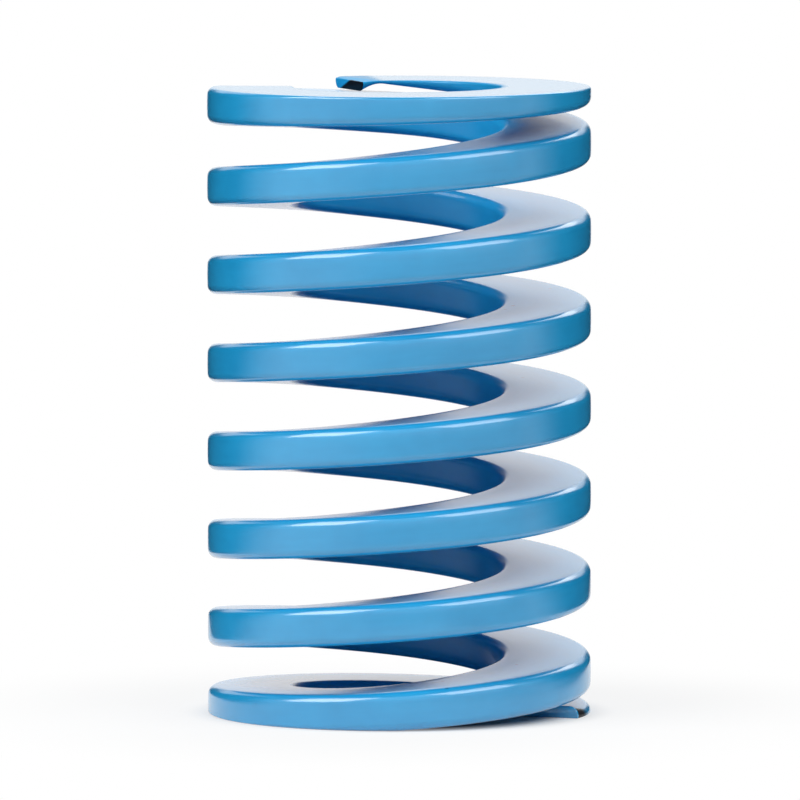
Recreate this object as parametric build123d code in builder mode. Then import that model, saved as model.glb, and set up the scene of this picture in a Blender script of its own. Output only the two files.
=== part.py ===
from build123d import *
import math
import os

# Die spring: one rectangular wire, coiled right-handed, with closed and ground ends.
# Millimetres. +Z runs along the coil's axis, and the origin is the centre of the lower ground end.

# Coil
outer_diameter = 31.2  # runs in a 32 mm hole
free_length = 51.0  # between the two ground ends
total_turns = 8.37  # from the lower tip of the wire to the upper one
lower_tip_angle = -22.0  # degrees round from +X

# Wire
wire_width = 7.3  # along the radius
wire_thickness = 3.15  # along the axis
corner_radius = 0.7
wall_allowance = 0.04  # stands on both walls of the lofted wire, and is turned off them

# Closed ends
closed_pitch = 2.8  # rise a turn, where the end turns close
closing_blend = 0.22  # turns over which the pitch changes
lower_seat = 0.62  # height of the closed turn's inner side at its start, above the ground end
upper_seat = 0.69
lower_end_gap = 0.73  # from the closed turn's start to the next turn, before the tip is bent
upper_end_gap = 0.08

# Tips: the wire springs towards its ground end, and its last bit bends back to the next turn
spring_turns = 0.25
lower_spring = 0.25  # how far the tip springs, which grinding then takes off
upper_spring = 0.7
tip_bend = 0.035  # turns of wire in the bend
lower_tip_clearance = 0.33  # from the bent tip to the next turn
upper_tip_clearance = 0.12

# Stations of the loft
coil_step = 1 / 16  # turns from one station to the next
tip_steps = 6  # stations in twice the bend's length at each tip

outer_radius = outer_diameter / 2
inner_radius = outer_radius - wire_width
mean_radius = (outer_radius + inner_radius) / 2

# Each end turn stands on its seat with a gap and the wire above it, and the other turns share the rest.
closed_stack = lower_seat + lower_end_gap + wire_thickness + upper_end_gap + upper_seat
active_pitch = (free_length - closed_stack) / (total_turns - 2)


def pitch_change(turns, middle):
    """Turns run at full pitch by a smooth change of pitch about the middle."""
    share = min(max((turns - middle) / closing_blend + 0.5, 0), 1)
    within = closing_blend * (share**3 - share**4 / 2)
    return within + max(turns - middle - closing_blend / 2, 0)


def reach(turns, seat, end_gap, spring, tip_clearance):
    """How far the wire's inner side stands from the ground end, so many turns from its tip."""
    closed_turns = (active_pitch - wire_thickness - end_gap) / (active_pitch - closed_pitch)
    coil = closed_pitch * turns + (active_pitch - closed_pitch) * pitch_change(turns, closed_turns)
    sprung = spring * max(1 - turns / spring_turns, 0) ** 2
    bend = (end_gap + spring - tip_clearance) * max(1 - turns / tip_bend, 0) ** 2
    return seat + coil - sprung + bend


def wire_height(turns):
    """Height of the wire's centre, so many turns from the lower tip."""
    if turns < total_turns / 2:
        lower_reach = reach(turns, lower_seat, lower_end_gap, lower_spring, lower_tip_clearance)
        return lower_reach - wire_thickness / 2
    from_tip = total_turns - turns
    upper_reach = reach(from_tip, upper_seat, upper_end_gap, upper_spring, upper_tip_clearance)
    return free_length - upper_reach + wire_thickness / 2


def wire_section(turns):
    """Plane across the wire, with X pointing away from the axis."""
    angle = math.radians(lower_tip_angle) + 2 * math.pi * turns
    outward = Vector(math.cos(angle), math.sin(angle), 0)
    along = Vector(-math.sin(angle), math.cos(angle), 0)
    centre = outward * mean_radius + Vector(0, 0, wire_height(turns))
    return Plane(origin=centre, x_dir=outward, z_dir=along)


tip_turns = 2 * tip_bend
tip_stations = [tip_turns * step / tip_steps for step in range(tip_steps)]
coil_turns = total_turns - 2 * tip_turns
coil_count = round(coil_turns / coil_step)
coil_stations = [tip_turns + coil_turns * step / coil_count for step in range(coil_count + 1)]
stations = tip_stations + coil_stations + [total_turns - turns for turns in reversed(tip_stations)]

with BuildPart() as die_spring:
    for turns in stations:
        with BuildSketch(wire_section(turns)):
            RectangleRounded(wire_width + 2 * wall_allowance, wire_thickness, corner_radius)
    loft()
    with BuildSketch(Plane.XY.offset(-wire_thickness)):
        Circle(outer_radius)
        Circle(inner_radius, mode=Mode.SUBTRACT)
    extrude(amount=free_length + 2 * wire_thickness, mode=Mode.INTERSECT)
    split(bisect_by=Plane.XY, keep=Keep.TOP)
    split(bisect_by=Plane.XY.offset(free_length), keep=Keep.BOTTOM)

os.makedirs("parts", exist_ok=True)
die_spring.part.label = "die_spring"
export_step(die_spring.part, "parts/die_spring.step")
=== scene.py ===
import math

import bpy
from mathutils import Matrix, Vector


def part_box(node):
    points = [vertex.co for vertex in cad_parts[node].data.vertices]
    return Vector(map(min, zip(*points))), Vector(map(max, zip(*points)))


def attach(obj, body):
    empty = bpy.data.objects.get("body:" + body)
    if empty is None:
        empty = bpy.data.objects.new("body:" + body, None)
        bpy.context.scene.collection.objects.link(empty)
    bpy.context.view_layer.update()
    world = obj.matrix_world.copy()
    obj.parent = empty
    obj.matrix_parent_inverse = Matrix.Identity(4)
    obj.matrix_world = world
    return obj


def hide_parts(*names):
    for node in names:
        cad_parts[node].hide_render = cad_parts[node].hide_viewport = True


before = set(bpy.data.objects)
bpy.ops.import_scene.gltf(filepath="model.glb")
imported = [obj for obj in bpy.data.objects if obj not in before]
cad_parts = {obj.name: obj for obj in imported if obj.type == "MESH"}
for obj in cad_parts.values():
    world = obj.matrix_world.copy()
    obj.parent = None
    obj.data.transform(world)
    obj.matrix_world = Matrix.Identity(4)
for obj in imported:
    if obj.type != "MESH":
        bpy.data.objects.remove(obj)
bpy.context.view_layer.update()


low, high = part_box("die_spring")

MM = 0.001

# ---------------------------------------------------------------- the coil's own sizes, in metres
outer_radius = (high.x - low.x) / 2
free_length = high.z - low.z
wire_width = 7.3 * MM
wire_thickness = 3.15 * MM
inner_radius = outer_radius - wire_width
mean_radius = (outer_radius + inner_radius) / 2
corner_radius = 0.7 * MM
lower_edge_radius = 0.1 * MM  # left on the edges of the ground faces
upper_edge_radius = 0.22 * MM
crown = 0.05 * MM  # how far the wire's outer side swells at its middle

total_turns = 8.37
lower_tip_angle = math.radians(-22)
closed_pitch = 2.8 * MM
closing_blend = 0.22  # turns over which the pitch changes
lower_seat, upper_seat = 0.62 * MM, 0.69 * MM
lower_end_gap, upper_end_gap = 0.73 * MM, 0.08 * MM
spring_turns = 0.25
lower_spring, upper_spring = 0.25 * MM, 0.7 * MM
tip_bend = 0.035  # turns of wire in each tip's bend
lower_tip_clearance, upper_tip_clearance = 0.33 * MM, 0.12 * MM
closed_stack = lower_seat + lower_end_gap + wire_thickness + upper_end_gap + upper_seat
active_pitch = (free_length - closed_stack) / (total_turns - 2)

# The upper tip and the turn under it. Where each starts and ends is in turns of wire from the tip.
sag_depth = 0.4 * MM  # that turn leaves the ground plane a little sooner
sag_start, sag_full = 0.78, 0.88
sag_easing, sag_end = 0.9, 1.15
hook_depth = 0.25 * MM  # the tip reaches down to that turn
lip_depth = 0.05 * MM  # below the grinding plane, at the wire's outer side
lip_deeper = 0.05 * MM  # and so much more at the bore
lip_length, lip_longer = 0.007, 0.024
blunt_depth = 1.1 * MM  # taken off the tip's outer corner
blunt_length = 0.012


def pitch_change(turns, middle):
    """Turns run at full pitch by a smooth change of pitch about the middle."""
    share = min(max((turns - middle) / closing_blend + 0.5, 0), 1)
    within = closing_blend * (share**3 - share**4 / 2)
    return within + max(turns - middle - closing_blend / 2, 0)


def reach(turns, seat, end_gap, spring, tip_clearance):
    """How far the wire's inner side stands from the ground end, so many turns from its tip."""
    closed_turns = (active_pitch - wire_thickness - end_gap) / (active_pitch - closed_pitch)
    coil = closed_pitch * turns + (active_pitch - closed_pitch) * pitch_change(turns, closed_turns)
    sprung = spring * max(1 - turns / spring_turns, 0) ** 2
    bend = (end_gap + spring - tip_clearance) * max(1 - turns / tip_bend, 0) ** 2
    return seat + coil - sprung + bend


def smooth(value, start, end):
    share = min(max((value - start) / (end - start), 0), 1)
    return share * share * (3 - 2 * share)


def wire_top(turns):
    """Height of the wire's upper side before grinding."""
    if turns < total_turns / 2:
        return reach(turns, lower_seat, lower_end_gap, lower_spring, lower_tip_clearance)
    from_tip = total_turns - turns
    from_end = reach(from_tip, upper_seat, upper_end_gap, upper_spring, upper_tip_clearance)
    sag = sag_depth * smooth(from_tip, sag_start, sag_full) * (1 - smooth(from_tip, sag_easing, sag_end))
    hook = hook_depth * max(1 - from_tip / tip_bend, 0) ** 2
    return free_length + wire_thickness - from_end - sag - hook


def lip(turns, radius):
    """How far the upper tip's ground side hangs below the grinding plane, deeper towards the bore."""
    inward = (outer_radius - radius) / wire_width
    length = lip_length + lip_longer * inward
    return (lip_depth + lip_deeper * inward) * max(1 - (total_turns - turns) / length, 0)


# ---------------------------------------------------------------- the wire as one fine mesh
CORNER_STEPS = 8
SIDE_STEPS = 5  # points inside each flat side but the lower one
AROUND = 4 * (CORNER_STEPS + 1) + 3 * SIDE_STEPS  # points in one section
STEP_TURNS = 1 / 180
ROUNDED_SHARE = 0.96  # of a thin section's height, at the most
LEAST_RADIUS = 0.02 * MM
END_EDGE = 0.09 * MM  # rounding of the tips' end faces
END_STEPS = 3
SHARP_ANGLE = math.radians(40)


def rounding(ground_away, edge_radius):
    """Corner radius where grinding has taken so much off the side."""
    share = min(max(ground_away / corner_radius, 0), 1)
    return corner_radius + (edge_radius - corner_radius) * share


def ring(turns, shrink):
    """One section as (radius, height) points, counter-clockwise from its lower outer corner."""
    top = wire_top(turns)
    bottom = top - wire_thickness
    lower, upper = max(bottom, 0), min(top, free_length)
    low_round = rounding(-bottom, lower_edge_radius)
    high_round = rounding(top - free_length, upper_edge_radius)
    fit = min(1, ROUNDED_SHARE * (upper - lower) / (low_round + high_round))
    low_round, high_round = low_round * fit, high_round * fit
    blunt = blunt_depth * max(1 - (total_turns - turns) / blunt_length, 0) ** 2
    inside, outside = inner_radius + shrink, outer_radius - shrink - blunt
    lower, upper = lower + shrink, upper - shrink
    low_round = max(low_round - shrink, LEAST_RADIUS)
    high_round = max(high_round - shrink, LEAST_RADIUS)
    points = []
    for across, up, radius, start in (
        (outside - low_round, lower + low_round, low_round, -90),
        (outside - high_round, upper - high_round, high_round, 0),
        (inside + high_round, upper - high_round, high_round, 90),
        (inside + low_round, lower + low_round, low_round, 180),
    ):
        corner = []
        for step in range(CORNER_STEPS + 1):
            turn = math.radians(start + 90 * step / CORNER_STEPS)
            corner.append((across + radius * math.cos(turn), up + radius * math.sin(turn)))
        if points:
            side_start = points[-1]
            for step in range(1, SIDE_STEPS + 1):
                share = step / (SIDE_STEPS + 1)
                points.append(tuple(a + (b - a) * share for a, b in zip(side_start, corner[0])))
        points += corner
    half = wire_thickness / 2
    middle_height = top - half
    shaped = []
    for radius, height in points:
        if radius > mean_radius:
            radius -= crown * min(abs(height - middle_height) / half, 1) ** 2
        if height > upper - high_round:
            height -= lip(turns, radius) * (height - upper + high_round) / high_round
        shaped.append((radius, height))
    return shaped


def section_stations():
    """(turns, shrink) of each section, where the shrunk ones round the edges of the tips' end faces."""
    edge_turns = END_EDGE / (2 * math.pi * outer_radius)
    ends = []
    for step in range(END_STEPS + 1):
        lean = math.radians(90 * step / END_STEPS)
        ends.append((edge_turns * (1 - math.cos(lean)), END_EDGE * (1 - math.sin(lean))))
    count = round((total_turns - 2 * edge_turns) / STEP_TURNS)
    body = [(edge_turns + (total_turns - 2 * edge_turns) * s / count, 0.0) for s in range(1, count)]
    return ends + body + [(total_turns - turns, shrink) for turns, shrink in reversed(ends)]


def wire_mesh():
    vertices, faces = [], []
    stations = section_stations()
    for turns, shrink in stations:
        angle = lower_tip_angle + 2 * math.pi * turns
        for radius, height in ring(turns, shrink):
            vertices.append((radius * math.cos(angle), radius * math.sin(angle), height))
    for i in range(len(stations) - 1):
        for j in range(AROUND):
            a, b = i * AROUND + j, i * AROUND + (j + 1) % AROUND
            faces.append((a, a + AROUND, b + AROUND, b))
    last = (len(stations) - 1) * AROUND
    faces.append(tuple(range(AROUND)))
    faces.append(tuple(last + j for j in reversed(range(AROUND))))
    mesh = bpy.data.meshes.new("lacquered_wire")
    mesh.from_pydata(vertices, [], faces)
    mesh.validate()
    mesh.shade_smooth()
    mesh.set_sharp_from_angle(angle=SHARP_ANGLE)
    return mesh


# ---------------------------------------------------------------- helpers for materials
def new_material(name):
    """A material whose node tree holds only its output, with that tree and the output's surface."""
    material = bpy.data.materials.new(name)
    material.use_nodes = True
    tree = material.node_tree
    tree.nodes.clear()
    return material, tree, tree.nodes.new("ShaderNodeOutputMaterial").inputs["Surface"]


def node(tree, kind, **inputs):
    """A node with these inputs set, where an underscore in a name stands for a space."""
    made = tree.nodes.new(kind)
    for name, value in inputs.items():
        made.inputs[name.replace("_", " ")].default_value = value
    return made


def math_node(tree, operation, *values):
    made = tree.nodes.new("ShaderNodeMath")
    made.operation = operation
    for slot, value in zip(made.inputs, values):
        if isinstance(value, (int, float)):
            slot.default_value = value
        else:
            tree.links.new(value, slot)
    return made.outputs[0]


def product(tree, first, *others):
    for value in others:
        first = math_node(tree, "MULTIPLY", first, value)
    return first


def ramp_between(tree, value, start, end, eased=True):
    """0 before start, 1 past end."""
    made = node(tree, "ShaderNodeMapRange", From_Min=start, From_Max=end)
    if eased:
        made.interpolation_type = "SMOOTHSTEP"
    tree.links.new(value, made.inputs["Value"])
    return made.outputs["Result"]


def noise(tree, place, **inputs):
    made = node(tree, "ShaderNodeTexNoise", **inputs)
    tree.links.new(place, made.inputs["Vector"])
    return made.outputs["Fac"]


def combined(tree, *values):
    made = tree.nodes.new("ShaderNodeCombineXYZ")
    for slot, value in zip(made.inputs, values):
        tree.links.new(value, slot)
    return made.outputs[0]


def separated(tree, vector):
    made = tree.nodes.new("ShaderNodeSeparateXYZ")
    tree.links.new(vector, made.inputs[0])
    return made.outputs


def object_place(tree):
    return tree.nodes.new("ShaderNodeTexCoord").outputs["Object"]


def mixed_colour(tree, share, base, colour):
    """The base colour, with this share of the other one."""
    made = tree.nodes.new("ShaderNodeMix")
    made.data_type = "RGBA"
    tree.links.new(share, made.inputs["Factor"])
    tree.links.new(base, made.inputs["A"])
    made.inputs["B"].default_value = colour
    return made.outputs["Result"]


def mixed_shader(tree, share, first, second):
    """The first shader, with this share of the second."""
    made = tree.nodes.new("ShaderNodeMixShader")
    tree.links.new(share, made.inputs["Fac"])
    tree.links.new(first.outputs[0], made.inputs[1])
    tree.links.new(second.outputs[0], made.inputs[2])
    return made.outputs[0]


def seen_rays(tree, *kinds):
    """1 where the ray is one of these kinds."""
    path = tree.nodes.new("ShaderNodeLightPath")
    value = path.outputs[kinds[0]]
    for kind in kinds[1:]:
        value = math_node(tree, "MAXIMUM", value, path.outputs[kind])
    return value


# ---------------------------------------------------------------- lacquer
DEEP_BLUE = (0.011, 0.315, 0.64, 1)
LIGHT_BLUE = (0.017, 0.38, 0.74, 1)
DUST_COLOUR = (0.006, 0.09, 0.24, 1)
GROUND_STEEL = (0.34, 0.38, 0.42, 1)
# near-black painted shade, for where the tips lie in shade
PAINTED_SHADE_BLACK = (0.003, 0.004, 0.008, 1)

GRAIN_DRAW = 2 * MM  # run of the grain's noise for each radian of coil, so that it is drawn out
WRINKLE_DRAW = 0.6  # run of the wrinkles' noise across the wire, for each unit of radius
GROUND_SKIN = 0.01 * MM  # what lies this near an end plane is ground
MARKS_CENTRE = (0.031, 0.044, 0)  # shifts the middle of the grinding marks' rings off the coil

# The tips, by their angles round the coil
upper_cut = math.radians(110.7), math.radians(111.3)  # the upper tip's end face
scuffing = math.radians(97), math.radians(102)  # where the worn coat before it sets in
lower_shade_start = math.radians(-21.6), math.radians(-20.8)  # where the painted shade low beside the lower tip sets in
lower_fading = math.radians(-7), math.radians(-16)
cut_height = 0.96 * MM  # of the upper tip's end face
cut_slope, cut_start = 2.8, 11.0 * MM  # the painted shade's edge there, a radius that grows downwards
cut_softness = 0.3 * MM
lower_shade_height = 1.5 * MM


def lacquer():
    material, tree, surface = new_material("blue_lacquer")
    link = tree.links.new
    shader = tree.nodes.new("ShaderNodeBsdfPrincipled")
    link(shader.outputs["BSDF"], surface)
    place = object_place(tree)
    x, y, z = separated(tree, place)

    # the wire's own directions: along the coil, across it and up
    angle = math_node(tree, "ARCTAN2", y, x)
    rise = math_node(tree, "MULTIPLY", angle, -active_pitch / (2 * math.pi))
    level = math_node(tree, "ADD", z, rise)
    squares = math_node(tree, "ADD", math_node(tree, "POWER", x, 2.0), math_node(tree, "POWER", y, 2.0))
    out = math_node(tree, "SQRT", squares)
    below = math_node(tree, "SUBTRACT", free_length, z)

    # which way the surface faces, and the two ground ends
    facing = separated(tree, tree.nodes.new("ShaderNodeTexCoord").outputs["Normal"])["Z"]
    upward = ramp_between(tree, facing, 0.6, 0.9)
    flat = ramp_between(tree, math_node(tree, "ABSOLUTE", facing), 0.9, 0.99)
    at_top = math_node(tree, "GREATER_THAN", z, free_length - GROUND_SKIN)
    at_foot = math_node(tree, "LESS_THAN", z, GROUND_SKIN)
    at_end = math_node(tree, "ADD", at_top, at_foot)

    # broad, faint changes of depth in the coat, and the drawn wire's grain under it
    cloud = noise(tree, place, Scale=160.0, Detail=3.0, Roughness=0.55)
    drawn = combined(tree, math_node(tree, "MULTIPLY", angle, GRAIN_DRAW), out, level)
    grain = noise(tree, drawn, Scale=1500.0, Detail=2.0, Roughness=0.6)
    depth = tree.nodes.new("ShaderNodeValToRGB")
    deep, light = depth.color_ramp.elements
    deep.position, light.position = 0.42, 0.92
    deep.color, light.color = DEEP_BLUE, LIGHT_BLUE
    link(math_node(tree, "MULTIPLY_ADD", grain, 0.35, cloud), depth.inputs["Fac"])

    # sparse specks of dust under the lacquer, on what faces up
    dust = node(tree, "ShaderNodeTexVoronoi", Scale=330.0, Randomness=1.0)
    link(place, dust.inputs["Vector"])
    dots = ramp_between(tree, dust.outputs["Distance"], 0.075, 0.03, eased=False)
    some = ramp_between(tree, noise(tree, place, Scale=75.0, Detail=0.0), 0.52, 0.6, eased=False)
    colour = mixed_colour(tree, product(tree, dots, some, upward), depth.outputs["Color"], DUST_COLOUR)

    # painted shade: near-black low on the upper tip's end face, and low beside the lower tip, where the
    # tips lie in shade
    on_cut_height = math_node(tree, "LESS_THAN", below, cut_height)
    before_edge = math_node(tree, "LESS_THAN", angle, upper_cut[1])
    past_coat = math_node(tree, "GREATER_THAN", angle, upper_cut[0])
    upper_end = product(tree, past_coat, before_edge, on_cut_height)
    cut_line = math_node(tree, "MULTIPLY_ADD", below, cut_slope, cut_start)
    from_line = math_node(tree, "SUBTRACT", cut_line, out)
    upper_painted_shade = product(tree, ramp_between(tree, from_line, -cut_softness, cut_softness), upper_end)
    lower_painted_shade = product(
        tree,
        ramp_between(tree, angle, *lower_shade_start),
        ramp_between(tree, angle, *lower_fading),
        math_node(tree, "LESS_THAN", z, lower_shade_height),
    )
    painted_shade = math_node(tree, "MAXIMUM", upper_painted_shade, lower_painted_shade)
    scuffed = product(tree, ramp_between(tree, angle, *scuffing), on_cut_height, before_edge)
    clear_of_wear_and_shade = math_node(tree, "SUBTRACT", 1.0, math_node(tree, "MAXIMUM", painted_shade, scuffed))

    # orange peel, the grinding marks that the coat hasn't filled on both ends, and the wrinkles that
    # bending the wire on edge leaves on its flat sides
    peel = noise(tree, place, Scale=900.0, Detail=2.0, Roughness=0.4)
    waves = math_node(tree, "MULTIPLY_ADD", peel, 0.35, noise(tree, place, Scale=240.0, Detail=1.0))
    rings = node(tree, "ShaderNodeTexWave", Scale=620.0, Distortion=3.0, Detail=2.0)
    rings.wave_type = "RINGS"
    rings.rings_direction = "Z"
    off_centre = node(tree, "ShaderNodeVectorMath")
    off_centre.inputs[1].default_value = MARKS_CENTRE
    link(place, off_centre.inputs[0])
    link(off_centre.outputs[0], rings.inputs["Vector"])
    marks = rings.outputs["Fac"]
    round_coil = math_node(tree, "MULTIPLY", angle, mean_radius)
    wrinkle_place = combined(tree, round_coil, math_node(tree, "MULTIPLY", out, WRINKLE_DRAW))
    wrinkle = noise(tree, wrinkle_place, Scale=2200.0, Detail=2.0, Roughness=0.6)
    unground = math_node(tree, "SUBTRACT", 1.0, at_end)
    waves = math_node(tree, "ADD", waves, product(tree, flat, unground, 0.7, wrinkle))
    height = math_node(tree, "MULTIPLY_ADD", marks, math_node(tree, "MULTIPLY", at_end, 0.16), waves)
    bump = node(tree, "ShaderNodeBump", Strength=0.25, Distance=0.02 * MM)
    link(height, bump.inputs["Height"])
    link(bump.outputs["Normal"], shader.inputs["Normal"])
    link(bump.outputs["Normal"], shader.inputs["Coat Normal"])

    # steel shows a little through the thin coat of the ground faces
    thin = product(tree, math_node(tree, "MULTIPLY_ADD", marks, 0.25, 0.2), at_end)
    colour = mixed_colour(tree, thin, colour, GROUND_STEEL)
    # painted shade: near-black over the colour where the tips lie in shade
    link(mixed_colour(tree, painted_shade, colour, PAINTED_SHADE_BLACK), shader.inputs["Base Color"])

    # the spray reaches the bore less, so the coat is thinner there
    coat = ramp_between(tree, out, inner_radius + 0.1 * MM, inner_radius + 0.7 * MM)
    coat.node.inputs["To Min"].default_value = 0.25
    # the coat is mostly left off where shade is painted and where the coat is worn
    left_over = math_node(tree, "MULTIPLY_ADD", clear_of_wear_and_shade, 0.9, 0.1)
    link(math_node(tree, "MULTIPLY", coat, left_over), shader.inputs["Coat Weight"])

    gloss = node(tree, "ShaderNodeMapRange", To_Min=0.42, To_Max=0.5)
    link(cloud, gloss.inputs["Value"])
    link(gloss.outputs["Result"], shader.inputs["Roughness"])
    shader.inputs["Specular IOR Level"].default_value = 0.15
    shader.inputs["Coat Roughness"].default_value = 0.16
    shader.inputs["Coat IOR"].default_value = 1.8
    return material


wire = bpy.data.objects.new("lacquered_coil", wire_mesh())
bpy.context.scene.collection.objects.link(wire)
wire.data.materials.append(lacquer())
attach(wire, "root")
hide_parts("die_spring")


# ---------------------------------------------------------------- studio
middle = (low + high) / 2
SOFTBOX_DISTANCE = 0.9
AMBIENT = 0.12
WHITE = (1, 1, 1, 1)
PAPER = (0.82, 0.82, 0.82, 1)
FELT = (0.015, 0.018, 0.022, 1)

FLOOR_REACH = 9
FLOOR_DROP = 0.02 * MM  # below the coil's foot
ROOM = 1.3  # how far out the cards reach
ROOM_HEIGHT = 1.7
OVERHEAD_HEIGHT = 1.0
SIDE_START = -0.6  # where the side and overhead cards start, from the coil towards the front
FLOOR_START = -0.08  # where the side floor cards start, and the front one ends
FLOOR_LIFT = 0.01 * MM
NEAR_GAP, FAR_GAP = 0.0333, 0.0766  # from the middle to the side floor cards, at their start and back
BACK_GAP = 0.09  # from the middle to the back cards


def towards(azimuth, elevation):
    """Azimuth is counted from -Y towards +X, in degrees."""
    a, e = math.radians(azimuth), math.radians(elevation)
    return Vector((math.sin(a) * math.cos(e), -math.cos(a) * math.cos(e), math.sin(e)))


def softbox(name, azimuth, elevation, width, height, radiance):
    """A lamp that faces the middle of the coil."""
    light = bpy.data.lights.new(name, "AREA")
    light.shape = "RECTANGLE"
    light.size, light.size_y = width, height
    light.energy = radiance * math.pi * width * height
    made = bpy.data.objects.new(name, light)
    bpy.context.scene.collection.objects.link(made)
    way = towards(azimuth, elevation)
    turned = (-way).to_track_quat("-Z", "Y").to_matrix().to_4x4()
    made.matrix_world = Matrix.Translation(middle + way * SOFTBOX_DISTANCE) @ turned


def level(x0, y0, x1, y1, height):
    """The corners of a level rectangle."""
    return [(x0, y0, height), (x1, y0, height), (x1, y1, height), (x0, y1, height)]


def upright(x0, y0, x1, y1):
    """The corners of a wall as high as the room."""
    return [(x0, y0, 0), (x1, y1, 0), (x1, y1, ROOM_HEIGHT), (x0, y0, ROOM_HEIGHT)]


def staged_mesh(name, points, material):
    mesh = bpy.data.meshes.new(name)
    mesh.from_pydata(points, [], [(0, 1, 2, 3)])
    mesh.materials.append(material)
    made = bpy.data.objects.new(name, mesh)
    bpy.context.scene.collection.objects.link(made)
    return made


def pale_paper():
    """White to the camera and to reflections alike, and plain lit paper round the coil's foot."""
    material, tree, surface = new_material("pale_floor")
    away = node(tree, "ShaderNodeVectorMath")
    away.operation = "LENGTH"
    tree.links.new(object_place(tree), away.inputs[0])
    radius = away.outputs["Value"]
    foot = math_node(tree, "MULTIPLY", ramp_between(tree, radius, 12 * MM, 18 * MM), 0.82)
    fade = math_node(tree, "MULTIPLY_ADD", ramp_between(tree, radius, 18 * MM, 45 * MM), 0.18, foot)
    seen = seen_rays(tree, "Is Camera Ray", "Is Glossy Ray", "Is Transmission Ray")
    matt = node(tree, "ShaderNodeBsdfDiffuse", Color=PAPER)
    white = node(tree, "ShaderNodeEmission", Strength=1.0)
    tree.links.new(mixed_shader(tree, math_node(tree, "MULTIPLY", fade, seen), matt, white), surface)
    return material


def graded_felt():
    """Black felt that thins out by its direction from the coil's foot. It stands low down beside the
    coil and behind it, thinly before it, and fully overhead."""
    material, tree, surface = new_material("graded_felt")
    way = tree.nodes.new("ShaderNodeVectorMath")
    way.operation = "NORMALIZE"
    tree.links.new(object_place(tree), way.inputs[0])
    x, y, z = separated(tree, way.outputs[0])
    sideways = math_node(tree, "ABSOLUTE", x)
    beside = ramp_between(tree, sideways, 0.13, 0.22)
    behind = ramp_between(tree, y, -0.35, 0.45)
    taller = math_node(tree, "MULTIPLY", ramp_between(tree, sideways, 0.5, 0.65), 0.4)
    low_down = ramp_between(tree, math_node(tree, "SUBTRACT", z, taller), 0.34, 0.24)
    before = product(tree, ramp_between(tree, y, -0.1, -0.3), ramp_between(tree, x, -0.75, -0.1))
    flags = math_node(tree, "MULTIPLY_ADD", before, 0.32, product(tree, beside, low_down, behind))
    overhead = ramp_between(tree, z, 0.55, 0.8)
    felt = node(tree, "ShaderNodeBsdfDiffuse", Color=FELT)
    gone = tree.nodes.new("ShaderNodeBsdfTransparent")
    tree.links.new(mixed_shader(tree, math_node(tree, "MAXIMUM", flags, overhead), gone, felt), surface)
    return material


card_felt = graded_felt()


def card(name, points, shades=False):
    """A card outside the picture. It acts on reflections, and on diffuse light where it shades. The
    camera of another view looks through it."""
    made = staged_mesh(name, points, card_felt)
    made.visible_camera = False
    made.visible_transmission = False
    made.visible_diffuse = shades
    made.visible_shadow = False


floor = staged_mesh("floor", level(-FLOOR_REACH, -FLOOR_REACH, FLOOR_REACH, FLOOR_REACH, 0), pale_paper())
floor.location.z = low.z - FLOOR_DROP

# The side floor cards' inner edges stand 36 mm out at the coil, and the picture's edges 32.5 mm. Both
# stand further out behind it.
for side, name in ((-1, "left"), (1, "right")):
    far = side * ROOM
    inner = [(side * FAR_GAP, ROOM, FLOOR_LIFT), (side * NEAR_GAP, FLOOR_START, FLOOR_LIFT)]
    outer = [(far, FLOOR_START, FLOOR_LIFT), (far, ROOM, FLOOR_LIFT)]
    card(name + "_floor_card", inner[1:] + outer + inner[:1], shades=True)
    card(name + "_side_card", upright(far, SIDE_START, far, ROOM), shades=True)
    card(name + "_back_card", upright(side * BACK_GAP, ROOM, far, ROOM), shades=True)
card("front_card", level(-ROOM, -ROOM, ROOM, FLOOR_START, FLOOR_LIFT))
card("overhead_card", level(-ROOM, SIDE_START, ROOM, ROOM, OVERHEAD_HEIGHT))

softbox("key_softbox", -59, 45, 0.62, 0.6, 5.3)
softbox("fill_softbox", 52, 45, 0.66, 0.6, 3.5)
softbox("back_softbox", 165, 42, 0.7, 0.5, 2.2)

world = bpy.data.worlds.new("studio")
world.use_nodes = True
tree = world.node_tree
tree.nodes.clear()
backdrop = node(tree, "ShaderNodeBackground", Color=WHITE, Strength=1.0)
ambient = node(tree, "ShaderNodeBackground", Color=WHITE, Strength=AMBIENT)
world_output = tree.nodes.new("ShaderNodeOutputWorld")
seen = seen_rays(tree, "Is Camera Ray", "Is Glossy Ray", "Is Transmission Ray")
tree.links.new(mixed_shader(tree, seen, ambient, backdrop), world_output.inputs["Surface"])
bpy.context.scene.world = world

# ---------------------------------------------------------------- camera
camera_distance = 1.0
camera_elevation = math.radians(4.7305)
camera_roll = Matrix.Rotation(math.radians(-0.03), 4, "Z")
target = middle + Vector((0.00006, 0, -0.00006))
camera_data = bpy.data.cameras.new("camera")
camera_data.sensor_width = 36
camera_data.lens = 553.13
camera_data.clip_end = 50
camera = bpy.data.objects.new("camera", camera_data)
bpy.context.scene.collection.objects.link(camera)
back = Vector((0, -math.cos(camera_elevation), math.sin(camera_elevation)))
aim = (-back).to_track_quat("-Z", "Y").to_matrix().to_4x4()
camera.matrix_world = Matrix.Translation(target + back * camera_distance) @ aim @ camera_roll
bpy.context.scene.camera = camera
bpy.context.scene.view_settings.view_transform = "Standard"
